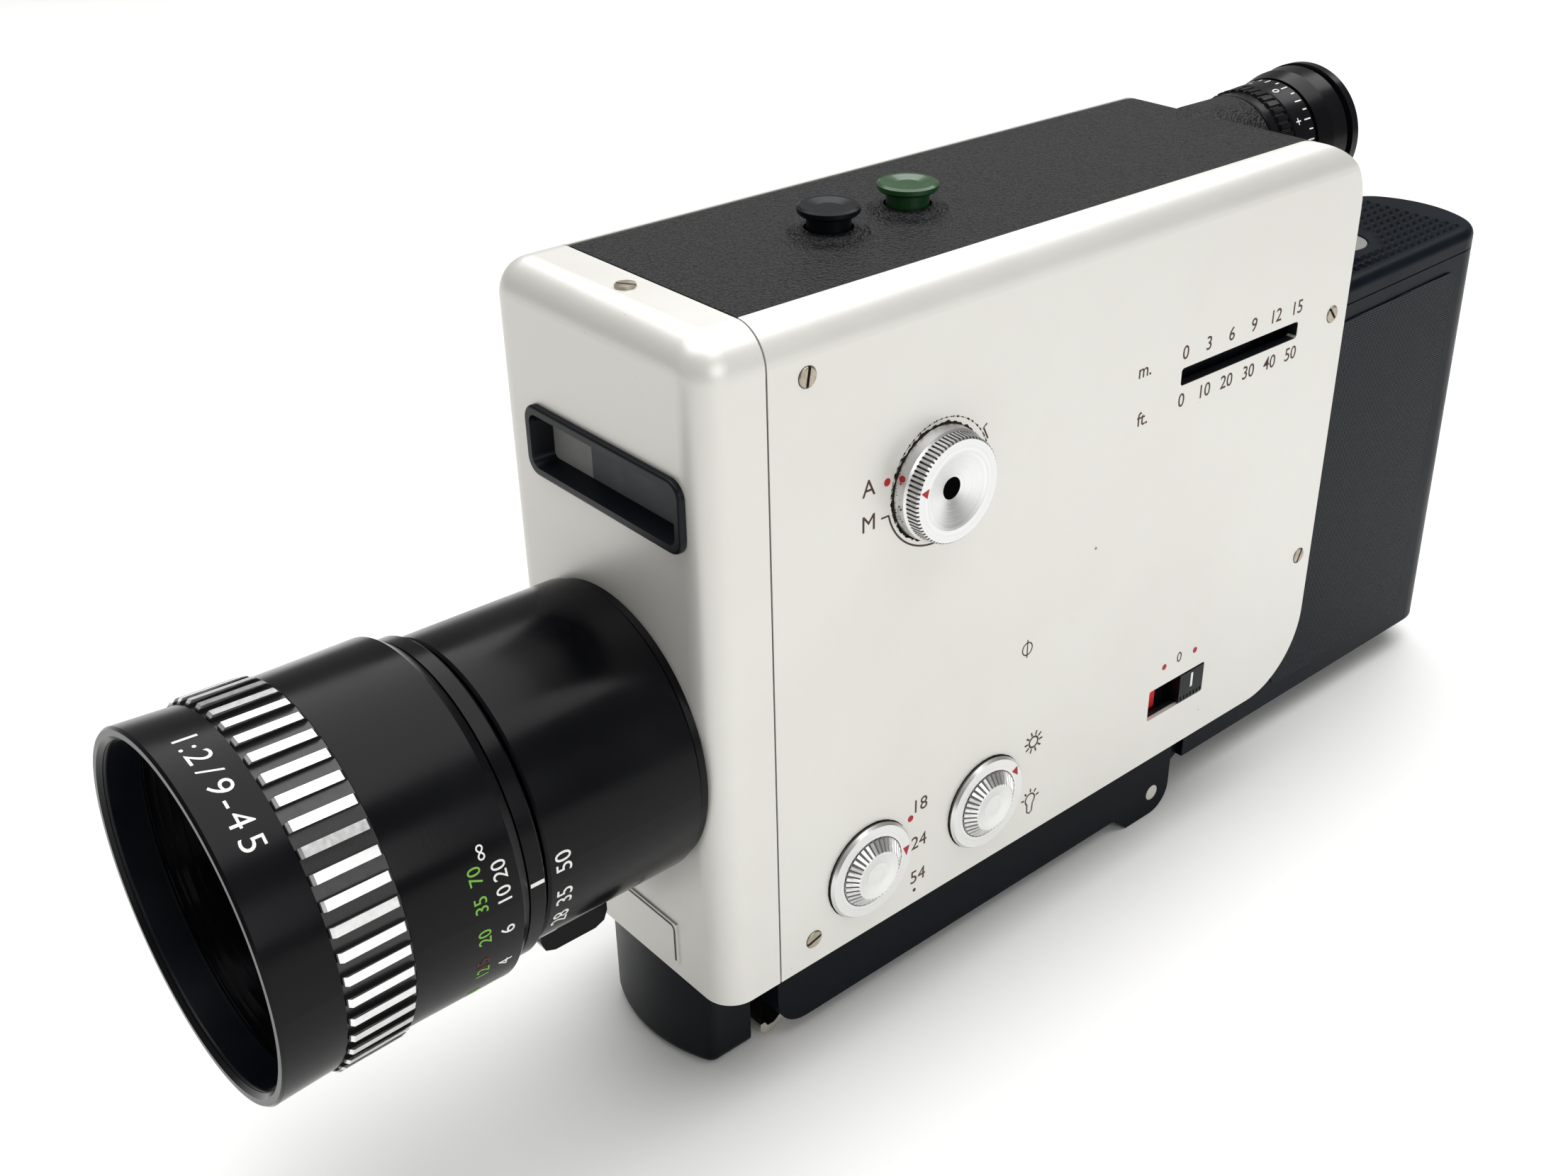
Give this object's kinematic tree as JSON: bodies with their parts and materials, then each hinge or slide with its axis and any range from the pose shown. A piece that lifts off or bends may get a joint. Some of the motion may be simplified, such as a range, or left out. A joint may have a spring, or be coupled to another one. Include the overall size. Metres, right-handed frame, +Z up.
{
  "type": "cine camera",
  "caption": "Reflex cine camera with a zoom lens, side dials, top zoom buttons, rear eyepiece and a grip that folds back behind the body.",
  "frame": {"origin": "bottom centre of the whole camera's bounding box, on the surface it stands on, with its grip folded back", "axes": "-Y along the lens, +Y to the eyepiece and grip, +X to the side with the dials, +Z up"},
  "size_m": [0.0554, 0.281, 0.1346],
  "materials": {
    "silver_paint": "satin",
    "black_crackle": "fine wrinkle",
    "black_satin": "satin",
    "black_gloss": "gloss anodised",
    "bright_alu": "machined",
    "nickel": "polished",
    "steel": "brushed",
    "brass": "turned",
    "casting": "cast",
    "glass": "coated",
    "smoked_glass": "smoked",
    "grip_plastic": "fine woven texture",
    "trigger_plastic": "satin",
    "white_plastic": "matte",
    "black_plastic": "matte",
    "green_plastic": "gloss",
    "rubber": "soft",
    "cell": "printed tube"
  },
  "bodies": {
    "body": {"front_cover": "silver_paint", "left_side_panel": "silver_paint", "centre_frame": "black_crackle", "base_housing": "black_crackle", "hinge_leaf": "nickel", "chassis": "casting", "film_gate": "steel", "drive_motor": "steel", "window_frame": "black_satin", "window_glass": "smoked_glass", "meter_cell": "black_plastic", "badge_plate": "silver_paint", "cover_screws": "nickel", "counter_frame": "black_plastic", "switch_base": "black_plastic", "tele_button_spring": "steel", "wide_button_spring": "steel", "lens_flange": "black_gloss", "lens_barrel": "black_satin", "index_ring": "black_gloss", "rear_lens": "glass", "eyepiece_tube": "black_gloss", "finder_prism": "glass", "trigger_pin": "steel", "handle_catch": "nickel", "pivot_pin": "nickel"},
    "film_door": {"film_door": "silver_paint", "hinge_pin": "steel"},
    "door_latch": {"door_latch": "nickel"},
    "take_up": {"take_up_spindle": "white_plastic"},
    "shutter": {"shutter_gear": "white_plastic", "shutter_disc": "black_satin"},
    "motor_shaft": {"motor_pinion": "brass"},
    "exposure_knob": {"exposure_knob": "bright_alu"},
    "speed_dial": {"speed_dial": "bright_alu", "speed_dial_knob": "bright_alu"},
    "filter_dial": {"filter_dial": "bright_alu", "filter_dial_knob": "bright_alu"},
    "counter_pointer": {"counter_pointer": "white_plastic"},
    "mode_switch": {"switch_slider": "black_plastic"},
    "tele_button": {"tele_button": "black_plastic"},
    "wide_button": {"wide_button": "green_plastic"},
    "zoom_ring": {"zoom_ring": "black_gloss", "zoom_lever": "black_gloss"},
    "variator": {"variator_cell": "black_satin", "variator_lens": "glass"},
    "focus_ring": {"focus_ring": "black_gloss", "focus_grip": "black_gloss", "lens_bezel": "black_gloss", "front_lens": "glass"},
    "diopter": {"diopter_ring": "black_gloss", "eyecup": "black_plastic", "eyepiece_lens": "glass"},
    "trigger": {"release_trigger": "trigger_plastic"},
    "handle": {"handle_shell_left": "grip_plastic", "handle_shell_right": "grip_plastic", "grip_end_cap": "grip_plastic", "tripod_bush": "bright_alu", "batteries": "cell", "battery_contacts": "brass"}
  },
  "joints": [
    {"name": "film_door_swing", "type": "hinge", "parent": "body", "child": "film_door", "pos_m": [-0.0258, -0.06105, 0.076], "axis": [0, 0, 1], "range_deg": [0, 95]},
    {"name": "door_latch_turn", "type": "hinge", "parent": "film_door", "child": "door_latch", "pos_m": [-0.0258, 0.06055, 0.076], "axis": [1, 0, 0], "range_deg": [0, 90]},
    {"name": "take_up_turn", "type": "hinge", "parent": "body", "child": "take_up", "pos_m": [0.0138, 0.02805, 0.066], "axis": [1, 0, 0], "continuous": true},
    {"name": "shutter_turn", "type": "hinge", "parent": "body", "child": "shutter", "pos_m": [0.0058, -0.03345, 0.0762], "axis": [0, 1, 0], "continuous": true},
    {"name": "motor_turn", "type": "hinge", "parent": "body", "child": "motor_shaft", "pos_m": [-0.0032, -0.03345, 0.0882], "axis": [0, 1, 0], "continuous": true},
    {"name": "exposure_knob_turn", "type": "hinge", "parent": "body", "child": "exposure_knob", "pos_m": [0.0234, -0.03135, 0.0991], "axis": [1, 0, 0], "range_deg": [-150, 150]},
    {"name": "speed_dial_turn", "type": "hinge", "parent": "body", "child": "speed_dial", "pos_m": [0.0234, -0.04425, 0.0352], "axis": [1, 0, 0], "range_deg": [-90, 90]},
    {"name": "filter_dial_turn", "type": "hinge", "parent": "body", "child": "filter_dial", "pos_m": [0.0234, -0.01805, 0.0353], "axis": [1, 0, 0], "range_deg": [0, 60]},
    {"name": "counter_slide", "type": "slide", "parent": "body", "child": "counter_pointer", "axis": [0, 1, 0], "range_m": [-0.022, 0.0095]},
    {"name": "mode_switch_slide", "type": "slide", "parent": "body", "child": "mode_switch", "axis": [0, -1, 0], "range_m": [0, 0.0086]},
    {"name": "tele_button_press", "type": "slide", "parent": "body", "child": "tele_button", "axis": [0, 0, -1], "range_m": [0, 0.0016], "stiffness_N_per_m": 400, "springref_m": -0.002, "deforming": ["tele_button_spring"]},
    {"name": "wide_button_press", "type": "slide", "parent": "body", "child": "wide_button", "axis": [0, 0, -1], "range_m": [0, 0.0016], "stiffness_N_per_m": 400, "springref_m": -0.002, "deforming": ["wide_button_spring"]},
    {"name": "zoom_turn", "type": "hinge", "parent": "body", "child": "zoom_ring", "pos_m": [-0.0012, -0.08845, 0.0642], "axis": [0, 1, 0], "range_deg": [-45, 45]},
    {"name": "variator_travel", "type": "slide", "parent": "body", "child": "variator", "axis": [0, 1, 0], "range_m": [-0.008, 0.008]},
    {"name": "focus_turn", "type": "hinge", "parent": "body", "child": "focus_ring", "pos_m": [-0.0012, -0.11845, 0.0642], "axis": [0, 1, 0], "range_deg": [-150, 60]},
    {"name": "diopter_turn", "type": "hinge", "parent": "body", "child": "diopter", "pos_m": [-0.0055, 0.07955, 0.122], "axis": [0, 1, 0], "range_deg": [-60, 60]},
    {"name": "trigger_pull", "type": "hinge", "parent": "body", "child": "trigger", "pos_m": [-0.0012, -0.06585, 0.0266], "axis": [1, 0, 0], "range_deg": [0, 3.2], "stiffness_Nm_per_rad": 1.5, "springref_deg": -5.73},
    {"name": "handle_fold", "type": "hinge", "parent": "body", "child": "handle", "pos_m": [-0.0012, 0.03825, 0.0051], "axis": [-1, 0, 0], "range_deg": [0, 177.7]}
  ],
  "couplings": [
    {"joint": "motor_turn", "follows": "shutter_turn", "ratio": -4},
    {"joint": "variator_travel", "follows": "zoom_turn", "m_per_rad": 0.01}
  ]
}
